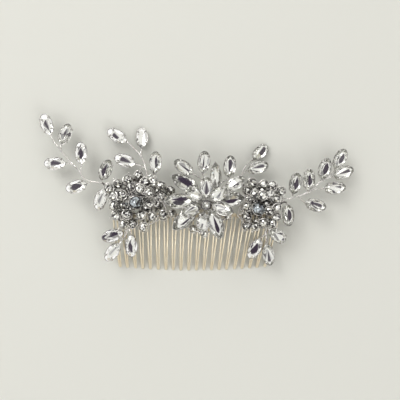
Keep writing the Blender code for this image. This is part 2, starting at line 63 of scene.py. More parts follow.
# Camera: straight overhead, a little to the side of the flower
CAMERA_PLACE = Vector((1.78, -3.52, 312.0)) * MM
LENS_MM = 55.7
LIGHT_BOUNCES = 16  # light crosses a crystal many times before it leaves

# Wire comb
TEETH = 20
TOOTH_PITCH = 4.16
TOOTH_WIRE = 0.85
LEG_SPREAD = 1.8
TIP_SPREAD = 0.62
TOOTH_CLOSING = 1.6  # the legs stay apart over most of their length
TOOTH_REACH = 27.4
SHORT_REACH = 1.8
TIP_GATHER = 0.92
TIP_SHIFT = -1.9
TOOTH_LEAN = 0.18  # how far a tooth's tip strays to either side
TOOTH_TOP_RISE = 1.15  # height of a tooth's round top, as a share of half its legs' spread
LEG_SHARE = 0.985  # the legs end this far along a tooth, where its tight turn starts
SPINE_Y = -0.9
LEG_TOP_Z = 9.64
TIP_Z = 0.43
SLOPE_AT_SPINE = 5.0
SLOPE_AT_TIP = 32.0
SPINE_ROD = 1.2
SPINE_Z = LEG_TOP_Z - TOOTH_WIRE / 2 - SPINE_ROD / 2 + 0.1
SPINE_INSET = 0.6  # how far the spine ends short of the comb's nominal width
BINDING_WIRE = 0.5
BINDING_RADIUS = 1.25
BINDING_SQUASH = 0.12  # the binding is pulled this much flatter at front and back
BINDING_STEPS = 20

# Fine wires
STRAND = 0.42  # one strand of a twisted pair
SPRAY_STRAND = 0.32  # the outer sprays are on finer wire
TWIST_PITCH = 3.4
TWIST_STAGGER = 1.3  # from branch to branch, in radians
STEM_TAIL = 1.2  # straight wire past a stem's end, into its crystal's basket
STEM_OVERLAP = 0.1
STEM_DEPTH = 0.45  # where a stem meets a crystal, as a share of the basket's depth
CORE_STRAND = 0.46
CORE_PITCH = 2.6
BEAD_STRAND = 0.34
STALK_PITCH = 1.6
CURL_SIZE = (0.7, 1.1)
NET_STRAND = 0.40  # the net is a tangle of near-black wires behind the beads: painted shade that darkens the gaps between them
NET_PITCH = 2.8
NET_LINKS = 5
NET_REACH = 9.0
NET_DIP = 2.4
NET_FOOT = 1.6
NET_ASIDE = 0.8
NET_FLOOR_Z = 10.7  # the net stays clear of the spine

# Crystals
LEAF_ENDS = {"tip": 0.95, "foot": 0.5}
PETAL_ENDS = {"tip": 0.12, "foot": 0.12}
PETAL_FROM = 13.0  # crystals longer than this are the flower's outer petals
KEEL_SLOPE = 0.15
KEEL_LIMIT = 1.15  # the deepest that a stone reaches into its basket
GLASS_IOR = 1.56
KEEL_LEAN = 0.64  # turns each keel's facet square to the camera, seen through the glass (1 / IOR)
KEEL_LEAN_DEPTH = 1.4  # a stone that leans sideways has a deeper back
KEEL_ASIDE_DEPTH = 0.6
KEEL_OUTLINE = ((-0.50, 0.1), (-0.14, 0.5), (-0.24, -0.5), (0.24, 0.45), (0.14, -0.5), (0.50, -0.1))
RIDGE_REACH = 0.33  # the back's ridge runs this share of the stone's length each way
RIDGE_ASIDE = 0.6
RIDGE_DEPTH = 0.94

# The facet in each stone's keel that mirrors the dim room overhead to the camera, set against
# the photo: where it lies towards the tip and to the tip's left, its length and its width,
# as shares of the stone's length and width
KEEL_FACETS = {
    "petal_1": (-0.02, -0.08, 0.62, 0.42),
    "petal_2": (-0.13, -0.15, 0.54, 0.24),
    "petal_3": (0.02, 0.18, 0.46, 0.12),
    "petal_4": (0.18, 0.02, 0.38, 0.26),
    "petal_5": (0.10, -0.15, 0.62, 0.30),
    "petal_6": (-0.12, -0.15, 0.60, 0.40),
    "petal_7": (0.00, -0.10, 0.40, 0.10),
    "inner_petal_1": (-0.12, 0.00, 0.28, 0.26),
    "inner_petal_2": (-0.05, 0.10, 0.34, 0.14),
    "inner_petal_3": (-0.10, 0.05, 0.26, 0.24),
    "inner_petal_4": (0.05, -0.10, 0.30, 0.20),
    "inner_petal_5": (0.00, 0.10, 0.34, 0.14),
    "inner_petal_6": (0.05, 0.10, 0.44, 0.16),
    "centre_leaf_1": (-0.18, 0.00, 0.38, 0.14),
    "centre_leaf_2": (-0.08, 0.02, 0.36, 0.12),
    "centre_leaf_3": (-0.15, 0.00, 0.30, 0.10),
    "upper_left_leaf_1": (0.00, 0.15, 0.28, 0.22),
    "upper_left_leaf_2": (0.17, 0.00, 0.32, 0.12),
    "upper_left_leaf_3": (0.13, 0.04, 0.42, 0.18),
    "upper_left_leaf_4": (0.08, -0.04, 0.44, 0.18),
    "upper_right_leaf_1": (0.00, -0.15, 0.48, 0.38),
    "upper_right_leaf_2": (0.14, 0.05, 0.30, 0.20),
    "left_edge_leaf_1": (-0.18, 0.12, 0.42, 0.36),
    "left_edge_leaf_2": (0.20, 0.00, 0.22, 0.22),
    "right_edge_leaf": (0.05, 0.14, 0.58, 0.32),
    "left_spray_leaf_1": (0.14, 0.02, 0.40, 0.12),
    "left_spray_leaf_2": (0.00, 0.05, 0.26, 0.20),
    "left_spray_leaf_3": (0.00, 0.14, 0.66, 0.44),
    "left_spray_leaf_4": (0.18, 0.04, 0.38, 0.42),
    "left_spray_leaf_5": (0.18, 0.08, 0.36, 0.38),
    "right_spray_leaf_1": (-0.10, -0.14, 0.50, 0.38),
    "right_spray_leaf_2": (-0.16, -0.12, 0.34, 0.36),
    "right_spray_leaf_3": (0.00, -0.14, 0.60, 0.44),
    "right_spray_leaf_4": (0.02, -0.15, 0.50, 0.36),
    "right_spray_leaf_5": (0.17, 0.00, 0.38, 0.36),
    "right_spray_leaf_6": (0.10, 0.10, 0.20, 0.08),
    "right_spray_leaf_7": (-0.17, 0.10, 0.28, 0.22),
    "lower_left_leaf_1": (0.10, 0.04, 0.24, 0.12),
    "lower_left_leaf_2": (0.12, -0.12, 0.42, 0.38),
    "lower_left_leaf_3": (0.10, 0.00, 0.22, 0.12),
    "lower_right_leaf_1": (-0.05, 0.05, 0.30, 0.10),
    "lower_right_leaf_2": (0.00, 0.00, 0.30, 0.18),
    "lower_right_leaf_3": (0.18, 0.00, 0.36, 0.22),
}
STONE_LENGTH = 0.955  # the stone's share of its setting's length and width
STONE_WIDTH = 0.93
TABLE_SHARE = 0.6
CROWN_FLARE = 0.22  # how much wider the crown's middle row is than the table
CROWN_BREAK = 0.56  # that row's height, as a share of the table's
GIRDLE_SHARE = 0.06
CROWN_SHARE = 0.72  # the stone's height, as a share of its claws'
CLAW_RADIUS = 0.54
CLAW_TURNS = (0.14, 0.36, 0.64, 0.86)
CLAW_STANDOFF = 0.05
CLAW_TAPER = 0.62
LOOP_RADIUS = 0.42  # the wire loop under a setting's foot
LOOP_WIRE = 0.34

# Flower
PLATE_THICK = 0.7
HUB_SHARE = 0.46
LOBES = 8
POST_WIRE = 0.84
COLLAR_RIBS = 14
COLLAR_RIDGE = 0.3
# The collar's section: how far in from the hub to the cup, and how high, as shares
COLLAR_SECTION = ((0.0, 0.0), (0.35, 0.5), (0.75, 0.86), (1.0, 1.0), (1.0, 0.8), (0.5, 0.4), (0.02, -0.06))
CUP_WALL = 0.35
CUP_CLAWS = 6

# Beads
BEAD_RADIUS = 2.3
BIG_BEAD_RADIUS = 3.2
SMALL_BEAD_RADIUS = 1.8
# The lining's rows: distance from the hole's axis and height along it, as shares of the radius
LINING_ROWS = ((0.26, -0.82), (0.64, -0.54), (0.82, -0.18), (0.82, 0.18), (0.64, 0.54), (0.26, 0.82))
LINING_SIDES = 7
LINING_UNEVEN = (0.88, 1.04)
SHADED_SHARE = (0.14, 0.42)  # how much of a bead's lining is painted near-black as painted shade, from bead to bead
BEAD_SIZES = (0.94, 1.04)
BEAD_ROWS = ((-62, 5), (-34, 8), (0, 8), (34, 8), (62, 5))  # latitude, and corners in the row


def drawn(x, y, z):
    """A point of the drawing frame, in metres in the row frame."""
    return (Vector((x, y, z)) + DRAWING_ORIGIN) * MM


# ---- materials


def material(name):
    """A new material, with its nodes, its links and its Principled shader."""
    made = bpy.data.materials.new(name)
    made.use_nodes = True
    return made, made.node_tree.nodes, made.node_tree.links, made.node_tree.nodes["Principled BSDF"]


def noise(nodes, links, place, scale, detail):
    made = nodes.new("ShaderNodeTexNoise")
    made.inputs["Scale"].default_value = scale
    made.inputs["Detail"].default_value = detail
    links.new(place.outputs["Object"], made.inputs["Vector"])
    return made.outputs["Fac"]


def colour_mix(nodes, links, share, first, second):
    made = nodes.new("ShaderNodeMix")
    made.data_type = "RGBA"
    made.inputs["A"].default_value = (*first, 1.0)
    made.inputs["B"].default_value = (*second, 1.0)
    links.new(share, made.inputs["Factor"])
    return made


def metal(name, colour, dull, roughness, wear, grain):
    """Plated metal: the plating's tone drifts, and fine drawing marks break up its shine."""
    made, nodes, links, shader = material(name)
    place = nodes.new("ShaderNodeTexCoord")
    tone = colour_mix(nodes, links, noise(nodes, links, place, 180.0, 3.0), dull, colour)
    links.new(tone.outputs["Result"], shader.inputs["Base Color"])
    marks = noise(nodes, links, place, grain, 4.0)
    spread = nodes.new("ShaderNodeMapRange")
    spread.inputs["To Min"].default_value = roughness
    spread.inputs["To Max"].default_value = roughness + wear
    links.new(marks, spread.inputs["Value"])
    links.new(spread.outputs["Result"], shader.inputs["Roughness"])
    bump = nodes.new("ShaderNodeBump")
    bump.inputs["Strength"].default_value = 0.12
    bump.inputs["Distance"].default_value = 0.00003
    links.new(marks, bump.inputs["Height"])
    links.new(bump.outputs["Normal"], shader.inputs["Normal"])
    shader.inputs["Metallic"].default_value = 1.0
    return made


def glass(name, colour):
    made, _, _, shader = material(name)
    shader.inputs["Base Color"].default_value = (*colour, 1.0)
    shader.inputs["Transmission Weight"].default_value = 1.0
    shader.inputs["Roughness"].default_value = 0.0
    shader.inputs["IOR"].default_value = GLASS_IOR
    return made


def foil(name, colour, roughness):
    """The silvered back of a rhinestone, seen through the glass."""
    made, nodes, links, shader = material(name)
    cloud = noise(nodes, links, nodes.new("ShaderNodeTexCoord"), 420.0, 2.0)
    tone = colour_mix(nodes, links, cloud, [0.86 * part for part in colour], colour)
    links.new(tone.outputs["Result"], shader.inputs["Base Color"])
    shader.inputs["Metallic"].default_value = 1.0
    shader.inputs["Roughness"].default_value = roughness
    return made


CHAMPAGNE = metal("champagne_wire", (0.90, 0.84, 0.70), (0.76, 0.66, 0.48), 0.22, 0.16, 2600.0)
SILVER = metal("silver_wire", (0.90, 0.88, 0.86), (0.70, 0.68, 0.66), 0.14, 0.16, 3200.0)
# Near-black silver for the clusters' side cores and net: painted shade in the gaps between the beads
CORE_SILVER_PAINTED_SHADE = metal("core_silver_painted_shade", (0.24, 0.22, 0.21), (0.09, 0.08, 0.08), 0.25, 0.20, 3200.0)
SETTING = metal("silver_setting", (0.74, 0.73, 0.71), (0.52, 0.51, 0.50), 0.10, 0.12, 2200.0)
PLATE = metal("brushed_plate", (0.93, 0.92, 0.90), (0.80, 0.79, 0.78), 0.60, 0.15, 2200.0)
# The basket's walls: a darker copy of the setting's silver, painted shade for the dark surroundings they
# reflect
WALL_PAINTED_SHADE = metal("basket_wall_painted_shade", (0.38, 0.37, 0.36), (0.18, 0.17, 0.17), 0.20, 0.20, 2200.0)
CRYSTAL = glass("crystal_glass", (0.965, 0.97, 0.945))
FOIL = foil("crystal_foil", (0.90, 0.90, 0.88), 0.03)
BEAD = glass("bead_glass", (0.94, 0.94, 0.92))
SMOKY_BEAD = glass("smoky_bead_glass", (0.50, 0.55, 0.60))
LINING = metal("bead_lining", (0.96, 0.96, 0.94), (0.88, 0.88, 0.86), 0.03, 0.05, 2600.0)
# Near-black facets in a bead's lining: painted shade among the bright mirrored ones
SHADE = metal("bead_shade", (0.10, 0.09, 0.09), (0.04, 0.035, 0.04), 0.20, 0.20, 2600.0)


# ---- mesh helpers


def piece_from(bm, name, materials, sharp=40.0, flat=False):
    """A new object from a bmesh whose faces already carry their material's index."""
    bmesh.ops.recalc_face_normals(bm, faces=bm.faces)
    mesh = bpy.data.meshes.new(name)
    bm.to_mesh(mesh)
    bm.free()
    for each in materials:
        mesh.materials.append(each)
    if not flat:
        mesh.shade_smooth()
        mesh.set_sharp_from_angle(angle=radians(sharp))
    piece = bpy.data.objects.new(name, mesh)
    bpy.context.scene.collection.objects.link(piece)
    return piece


def smooth_route(points, runs=8):
    """Points on a Catmull-Rom curve through a route's own points."""
    knots = [Vector(point) for point in points]
    knots = [2 * knots[0] - knots[1]] + knots + [2 * knots[-1] - knots[-2]]
    route = []
    for before, start, end, after in zip(knots, knots[1:], knots[2:], knots[3:]):
        for step in range(runs):
            t = step / runs
            route.append(
                0.5 * (2 * start + (end - before) * t
                       + (2 * before - 5 * start + 4 * end - after) * t * t
                       + (3 * start - before - 3 * end + after) * t ** 3)
            )
    return route + [knots[-2]]


def resample(route, spacing):
    """The same line with points a fixed distance apart."""
    kept = [route[0]]
    carried = 0.0
    for start, end in zip(route, route[1:]):
        length = (end - start).length
        reach = spacing - carried
        while length > 0 and reach <= length:
            kept.append(start + (end - start) * (reach / length))
            reach += spacing
        carried = length - (reach - spacing) if length > 0 else carried
    if (kept[-1] - route[-1]).length > spacing * 0.3:
        kept.append(route[-1])
    else:
        kept[-1] = route[-1]
    return kept


def carried_frames(route, closed=False):
    """(along, side, other) at each point, with as little twist as the route allows."""
    count = len(route)
    frames = []
    side = UP
    for index in range(count):
        ahead = route[(index + 1) % count] if closed else route[min(index + 1, count - 1)]
        behind = route[index - 1] if closed else route[max(index - 1, 0)]
        along = (ahead - behind).normalized()
        if abs(along.dot(side)) > 0.98:
            side = Vector((0.4, 1.0, 0.3)).normalized()
        side = (side - along * along.dot(side)).normalized()
        frames.append((along, side, along.cross(side)))
    return frames


def sweep(bm, route, radius, sides=8, closed=False, ends=0.45):
    """A round bar along a route in metres, with domed ends. Its radius may differ at each point."""
    dome = 0.55
    frames = carried_frames(route, closed)
    radii = radius if isinstance(radius, list) else [radius] * len(route)
    rings = []

    def ring_at(point, axes, size):
        _, side, other = axes
        made = []
        for corner in range(sides):
            angle = 2 * pi * corner / sides
            made.append(bm.verts.new(point + size * (cos(angle) * side + sin(angle) * other)))
        return made

    if not closed:
        rings.append(ring_at(route[0] - frames[0][0] * radii[0] * ends, frames[0], radii[0] * dome))
    for point, axes, size in zip(route, frames, radii):
        rings.append(ring_at(point, axes, size))
    if not closed:
        last = route[-1] + frames[-1][0] * radii[-1] * ends
        rings.append(ring_at(last, frames[-1], radii[-1] * dome))
    pairs = list(zip(rings, rings[1:]))
    if closed:
        pairs.append((rings[-1], rings[0]))
    for ring, following in pairs:
        for corner in range(sides):
            onward = (corner + 1) % sides
            bm.faces.new((ring[corner], ring[onward], following[onward], following[corner]))
    if not closed:
        bm.faces.new(list(reversed(rings[0])))
        bm.faces.new(rings[-1])


def twisted(bm, route, strand, pitch, strands=2, phase=0.0, sides=7):
    """Strands twisted round each other along a route in metres."""
    line = resample(route, pitch / 9)
    frames = carried_frames(line)
    travelled = 0.0
    lines = [[] for _ in range(strands)]
    for index, (point, (_, side, other)) in enumerate(zip(line, frames)):
        if index:
            travelled += (point - line[index - 1]).length
        for which in range(strands):
            angle = 2 * pi * (travelled / pitch + which / strands) + phase
            offset = strand / 2 * (1.0 if strands == 2 else 1.15)
            lines[which].append(point + offset * (cos(angle) * side + sin(angle) * other))
    for each in lines:
        sweep(bm, each, strand / 2, sides)


# ---- crystals


def marquise(shape, turn):
    """A point of the oval at a turn from 0 to 1, starting at its tip on +X. Each end lies
    between a sharp point (0) and a full ellipse (1)."""
    half_length = shape["length"] / 2
    half_width = shape["width"] / 2
    radius = (half_length ** 2 + half_width ** 2) / (2 * half_width)
    turn = turn % 1.0
    lean = cos(2 * pi * turn)
    x = half_length * lean
    pointed = sqrt(max(0.0, radius ** 2 - x ** 2)) - (radius - half_width)
    rounded = half_width * abs(sin(2 * pi * turn))
    blunt = shape["foot"] + (shape["tip"] - shape["foot"]) * (0.5 + 0.5 * lean)
    y = max(0.0, pointed + (rounded - pointed) * blunt)
    return Vector((x, y if turn <= 0.5 else -y, 0.0))


def hull_of(points, merged=True):
    """A closed mesh round some points. Level triangles are merged into whole facets if asked."""
    bm = bmesh.new()
    for point in points:
        bm.verts.new(point)
    bmesh.ops.convex_hull(bm, input=list(bm.verts))
    loose = [vert for vert in bm.verts if not vert.link_faces]
    bmesh.ops.delete(bm, geom=loose, context="VERTS")
    if merged:
        bmesh.ops.dissolve_limit(bm, angle_limit=radians(1.0), verts=list(bm.verts), edges=list(bm.edges))
    bmesh.ops.recalc_face_normals(bm, faces=bm.faces)
    return bm


def hull_stone(points):
    """A faceted stone as the hull of its corners. Faces under its girdle, at z = 0, are silvered."""
    bm = hull_of(points)
    for face in bm.faces:
        face.material_index = 1 if face.calc_center_median().z < 0.0 else 0
    return bm


def marquise_corners(shape, crown, keel, lean):
    """Corners of a navette stone: a large table, two rows of crown facets, a thin girdle and a
    shallow silvered back whose halves meet in the keel's own facet."""
    points = []
    for step in range(8):
        points.append(marquise(shape, (step + 0.5) / 8) * TABLE_SHARE + UP * crown)
    for step in range(12):
        middle_row = marquise(shape, step / 12) * (TABLE_SHARE + CROWN_FLARE)
        points.append(middle_row + UP * crown * CROWN_BREAK)
    for step in range(16):
        rim = marquise(shape, step / 16)
        points.append(rim + UP * crown * GIRDLE_SHARE)
        points.append(rim - UP * crown * GIRDLE_SHARE)

    def back_corner(x, y, deep):
        return Vector((x, y, max(-deep - lean.x * x - lean.y * y, -KEEL_LIMIT * MM)))

    length, width = shape["length"], shape["width"]
    forward, aside, long, wide = keel
    depth = KEEL_SLOPE * width / 2 + KEEL_LEAN_DEPTH * MM * abs(lean.y)
    depth += KEEL_ASIDE_DEPTH * abs(aside) * width
    for reach, across in KEEL_OUTLINE:
        x = (forward + reach * long) * length
        points.append(back_corner(x, (aside + across * wide) * width, depth))
    for reach in (-RIDGE_REACH, RIDGE_REACH):
        points.append(back_corner(reach * length, RIDGE_ASIDE * aside * width, depth * RIDGE_DEPTH))
    return points


def ring_prism(bm, rings, slot=0, closed=False):
    """Faces between successive rings of points; in a closed loop the last meets the first."""
    made = [[bm.verts.new(point) for point in ring] for ring in rings]
    count = len(rings[0])
    pairs = list(zip(made, made[1:])) + ([(made[-1], made[0])] if closed else [])
    for ring, following in pairs:
        for corner in range(count):
            onward = (corner + 1) % count
            face = bm.faces.new((ring[corner], ring[onward], following[onward], following[corner]))
            face.material_index = slot
    return made


def claw(bm, foot, inward, drop, rise, reach, size):
    """One round claw: up the stone's side, over its edge, ending in a ball on the crown."""
    path = [
        foot - UP * drop,
        foot - inward * CLAW_STANDOFF * MM - UP * drop * 0.3,
        foot - inward * CLAW_STANDOFF * MM + UP * rise * 0.25,
        foot + inward * reach * 0.22 + UP * rise * 0.72,
        foot + inward * reach * 0.66 + UP * rise,
        foot + inward * reach + UP * rise * 0.96,
    ]
    line = smooth_route(path, 3)
    count = len(line) - 1
    radii = [size * (CLAW_TAPER + (1 - CLAW_TAPER) * (index / count) ** 2) for index in range(count + 1)]
    sweep(bm, line, radii, 10, ends=0.7)


def marquise_setting(shape, back, crown):
    """The claw setting: a pierced basket darkened as painted shade under a bright rim, four claws and a
    wire loop.
    """
    bm = bmesh.new()
    steps = 40

    def ring(scale, height):
        return [marquise(shape, step / steps) * scale + UP * height for step in range(steps)]

    floor_z = -back + 0.02 * MM
    basket = [
        (0.42, floor_z), (0.76, floor_z), (0.82, floor_z + 0.14 * MM), (0.97, -0.30 * MM),
        (0.94, -0.26 * MM), (0.76, floor_z + 0.42 * MM), (0.42, floor_z + 0.34 * MM),
    ]
    # The basket takes the darkened wall silver: painted shade
    ring_prism(bm, [ring(scale, height) for scale, height in basket], 1, closed=True)
    rim = [
        (0.955, -0.34 * MM), (0.995, -0.22 * MM), (1.0, -0.06 * MM), (0.98, 0.06 * MM),
        (0.955, 0.04 * MM), (0.945, -0.10 * MM),
    ]
    ring_prism(bm, [ring(scale, height) for scale, height in rim], 0, closed=True)
    for turn in CLAW_TURNS:
        foot = marquise(shape, turn) * 0.965
        inward = Vector((-foot.x * 0.45, -foot.y, 0.0)).normalized()
        claw(bm, foot, inward, back * 0.8, crown * 0.86, 0.75 * MM, CLAW_RADIUS * MM)
    loop = []
    for step in range(14):
        angle = 2 * pi * step / 14
        place = Vector((LOOP_RADIUS * cos(angle), LOOP_RADIUS * sin(angle), 0.0)) * MM
        loop.append(place + Vector((-shape["length"] / 2 + 0.45 * MM, 0.0, floor_z * 0.62)))
    sweep(bm, loop, LOOP_WIRE / 2 * MM, 6, closed=True)
    return bm


def crystal_frame(name, toward):
    """Where a marquise node lies: its matrix, length, width and heights, its foot at the end
    nearer to the point toward."""
    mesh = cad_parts[name].data
    flats = {}
    for face in mesh.polygons:
        key = tuple(round(part, 2) for part in face.normal)
        flats[key] = flats.get(key, 0.0) + face.area
    down = Vector(max(flats, key=flats.get)).normalized()
    corners = [vert.co for vert in mesh.vertices]
    middle = sum(corners, Vector()) / len(corners)
    first = max(corners, key=lambda co: (co - middle).length)
    second = max(corners, key=lambda co: (co - first).length)
    tip, foot = first, second
    if (second - toward).length >= (first - toward).length:
        tip, foot = second, first
    up = -down
    along = tip - foot
    along = (along - up * along.dot(up)).normalized()
    across = up.cross(along)
    girdle = (tip + foot) / 2
    heights = [(co - girdle).dot(up) for co in corners]
    widths = [(co - girdle).dot(across) for co in corners]
    turn = Matrix((along, across, up)).transposed().to_4x4()
    size = {"length": (tip - foot).length, "width": max(widths) - min(widths),
            "back": -min(heights), "crown": max(heights)}
    return Matrix.Translation(girdle) @ turn, size, foot


def nearest_corner(node, name):
    """The corner of a wire node that lies nearest to a crystal."""
    low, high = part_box(name)
    middle = (low + high) / 2
    return min((vert.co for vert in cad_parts[node].data.vertices),
               key=lambda co: (co - middle).length).copy()


def add_crystal(name, body, toward):
    """The stone and its setting, in place of one CAD crystal."""
    place, size, _ = crystal_frame(name, toward)
    ends = PETAL_ENDS if size["length"] > PETAL_FROM * MM else LEAF_ENDS
    shape = {"length": size["length"], "width": size["width"], **ends}
    stone_shape = {"length": size["length"] * STONE_LENGTH, "width": size["width"] * STONE_WIDTH, **ends}
    to_camera = (CAMERA_PLACE - place.translation).normalized()
    lean = place.to_3x3().transposed() @ to_camera * KEEL_LEAN
    bm = hull_stone(marquise_corners(stone_shape, size["crown"] * CROWN_SHARE, KEEL_FACETS[name], lean))
    bm.transform(place)
    stone = piece_from(bm, name + "_stone", [CRYSTAL, FOIL], flat=True)
    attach(stone, body)
    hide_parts(name)
    bm = marquise_setting(shape, size["back"], size["crown"])
    bm.transform(place)
    setting = piece_from(bm, name + "_setting", [SETTING, WALL_PAINTED_SHADE], sharp=35.0)
    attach(setting, body)


def petal_names():
    """The outer petals, then the inner ones."""
    names = sorted(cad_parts)
    return [name for prefix in ("petal_", "inner_petal_") for name in names if name.startswith(prefix)]


# ---- wire comb


def tooth_centre(x_root, along):
    """A point on a tooth's centre line, from the spine (0) to the tip (1)."""
    reach = TOOTH_REACH - SHORT_REACH * (x_root / (TEETH * TOOTH_PITCH / 2)) ** 2
    start, end = radians(SLOPE_AT_SPINE), radians(SLOPE_AT_TIP)
    slope = start + (end - start) * along
    plan = (sin(slope) - sin(start)) / (sin(end) - sin(start))
    drop = (cos(start) - cos(slope)) / (cos(start) - cos(end))
    x_tip = TIP_GATHER * x_root + TIP_SHIFT
    return Vector((
        x_root + (x_tip - x_root) * plan,
        SPINE_Y - reach * plan,
        LEG_TOP_Z - (LEG_TOP_Z - TIP_Z) * drop,
    ))


def hairpin(x_root, seed):
    """One tooth as a closed loop of wire: two legs, a round top and a tight turn at the tip."""
    chance = Random(seed)
    lean = chance.uniform(-TOOTH_LEAN, TOOTH_LEAN)
    runs = 22
    left, right = [], []
    for step in range(runs + 1):
        along = step / runs * LEG_SHARE
        closing = along ** TOOTH_CLOSING
        spread = LEG_SPREAD + (TIP_SPREAD - LEG_SPREAD) * closing
        centre = tooth_centre(x_root, along) + Vector((lean * along, 0, 0))
        left.append(centre - Vector((spread / 2, 0, 0)))
        right.append(centre + Vector((spread / 2, 0, 0)))
    top = tooth_centre(x_root, 0)
    half = LEG_SPREAD / 2
    arch = []
    for step in range(1, 8):
        angle = pi - pi * step / 8
        rise = half * TOOTH_TOP_RISE * sin(angle)
        arch.append(top + Vector((half * cos(angle), rise, 0.05 * sin(angle))))
    tip = tooth_centre(x_root, 1.0) + Vector((lean, 0, 0))
    corner = TIP_SPREAD * 0.3
    turn = [tip + Vector((corner, 0.12, 0.03)), tip, tip + Vector((-corner, 0.12, 0.03))]
    loop = list(reversed(left)) + arch + right + turn
    return [(point + DRAWING_ORIGIN) * MM for point in loop]


def build_comb():
    bm = bmesh.new()
    for index in range(TEETH):
        x_root = (index - (TEETH - 1) / 2) * TOOTH_PITCH
        sweep(bm, hairpin(x_root, index), TOOTH_WIRE / 2 * MM, 12, closed=True)
    end = TEETH * TOOTH_PITCH / 2 - SPINE_INSET
    rod_radius = SPINE_ROD / 4  # the spine is two rods side by side
    for side in (-1, 1):
        rod = [drawn(x * end, SPINE_Y + side * rod_radius, SPINE_Z) for x in (-1, -0.5, 0, 0.5, 1)]
        sweep(bm, rod, rod_radius * MM, 10)
    comb = piece_from(bm, "wire_comb_teeth", [CHAMPAGNE])
    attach(comb, "comb")
    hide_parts("wire_comb")

    first_gap = -(TEETH - 1) / 2 * TOOTH_PITCH + TOOTH_PITCH / 2
    route = []
    for step in range((TEETH - 2) * BINDING_STEPS + 1):
        turn = step / BINDING_STEPS
        angle = 2 * pi * turn
        x = first_gap + TOOTH_PITCH * (turn - sin(angle) / (2 * pi))
        radius = BINDING_RADIUS - BINDING_SQUASH + BINDING_SQUASH * cos(2 * angle)
        route.append(drawn(x, SPINE_Y + radius * sin(angle), SPINE_Z + radius * cos(angle)))
    bm = bmesh.new()
    sweep(bm, route, BINDING_WIRE / 2 * MM, 8)
    binding = piece_from(bm, "spine_binding", [CHAMPAGNE])
    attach(binding, "comb")
    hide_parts("binding_wire")


# ---- sprays and sprigs


SPRIG_ROUTES = {
    "left_spray": [
        [(-41.0, 9.5, 11.6), (-44.0, 13.2, 11.0), (-45.6, 14.9, 10.9), (-48.6, 15.5, 10.8),
         (-51.6, 16.0, 10.6), (-54.8, 17.5, 10.2), (-57.2, 21.0, 9.6), (-61.2, 25.2, 9.0),
         (-64.6, 28.8, 8.5), (-67.4, 32.4, 8.1), (-69.8, 35.2, 7.9), "left_spray_leaf_1"],
        [(-64.6, 28.8, 8.5), (-66.2, 31.0, 8.3), "left_spray_leaf_2"],
        [(-54.8, 17.5, 10.2), (-56.1, 19.2, 9.9), "left_spray_leaf_3"],
        [(-60.4, 24.4, 9.1), "left_spray_leaf_4"],
        [(-50.6, 15.8, 10.7), "left_spray_leaf_5"],
    ],
    "right_spray": [
        [(39.0, 3.0, 12.0), (41.2, 5.6, 11.3), (42.9, 7.3, 11.0), (45.8, 7.5, 11.0), (48.6, 8.4, 10.8),
         (52.0, 9.4, 10.8), (56.2, 11.2, 10.4), (59.2, 14.2, 10.0), (62.0, 16.2, 9.6),
         (65.0, 18.0, 9.2), "right_spray_leaf_4"],
        [(45.0, 7.4, 11.0), (46.4, 7.9, 11.0), "right_spray_leaf_1"],
        [(52.6, 9.6, 10.8), (54.2, 10.6, 10.6), "right_spray_leaf_2"],
        [(58.6, 13.6, 10.1), (60.0, 15.2, 9.9), "right_spray_leaf_3"],
        [(64.0, 17.4, 9.3), "right_spray_leaf_5"],
        [(57.0, 11.9, 10.3), "right_spray_leaf_6"],
        [(49.4, 8.7, 10.8), "right_spray_leaf_7"],
    ],
    "upper_left": [
        [(-25.5, 13.0, 12.2), (-24.0, 17.8, 12.2), (-24.2, 21.3, 10.8), (-25.5, 25.2, 8.6),
         (-27.1, 28.2, 7.2), (-30.4, 32.0, 6.2), "upper_left_leaf_1"],
        [(-26.7, 27.6, 7.4), (-27.2, 30.2, 5.6), "upper_left_leaf_2"],
        [(-24.4, 22.0, 10.3), (-26.8, 23.4, 9.4), "upper_left_leaf_3"],
        [(-24.1, 18.6, 11.8), (-22.4, 18.6, 12.0), "upper_left_leaf_4"],
    ],
    "upper_right": [
        [(24.0, 12.0, 12.0), (21.8, 17.0, 12.0), (22.6, 20.2, 10.4), (24.9, 24.0, 7.6),
         "upper_right_leaf_1"],
        [(22.2, 18.8, 11.0), "upper_right_leaf_2"],
    ],
    "centre": [
        [(5.0, 10.0, 11.9), (4.6, 14.0, 12.0), (2.2, 17.2, 12.6), "centre_leaf_1"],
        [(4.7, 12.6, 12.0), (4.0, 16.8, 12.4), "centre_leaf_2"],
        [(4.8, 11.0, 11.9), (10.0, 13.6, 11.9), "centre_leaf_3"],
    ],
    "lower_left": [
        [(-34.6, 1.0, 11.0), (-33.0, -4.0, 10.6), (-34.0, -9.6, 10.4), "lower_left_leaf_3"],
        [(-33.2, -5.6, 10.5), (-33.8, -7.6, 10.5), "lower_left_leaf_1"],
        [(-33.1, -4.8, 10.6), (-32.2, -8.0, 10.7), "lower_left_leaf_2"],
    ],
    "lower_right": [
        [(34.2, 0.6, 11.0), (34.6, -5.0, 10.4), (34.2, -10.0, 10.2), "lower_right_leaf_3"],
        [(34.5, -4.4, 10.5), (34.9, -6.6, 12.2), "lower_right_leaf_1"],
        [(34.5, -7.6, 10.3), (33.6, -9.6, 10.2), "lower_right_leaf_2"],
    ],
}
HINGES = {"left_spray": (-45.6, 14.9, 10.9), "right_spray": (42.9, 7.3, 11.0)}
SWING_CLEARANCE = 7.0  # loose wire ends stay this far from a hinge


def foot_route(route, stem):
    """A route with its crystal's name turned into the point at that crystal's foot."""
    points = [drawn(*point) for point in route[:-1]]
    place, size, foot = crystal_frame(route[-1], nearest_corner(stem, route[-1]))
    along = place.to_3x3() @ Vector((1.0, 0.0, 0.0))
    under = place.to_3x3() @ UP
    return points + [foot - along * STEM_OVERLAP * MM - under * size["back"] * STEM_DEPTH]


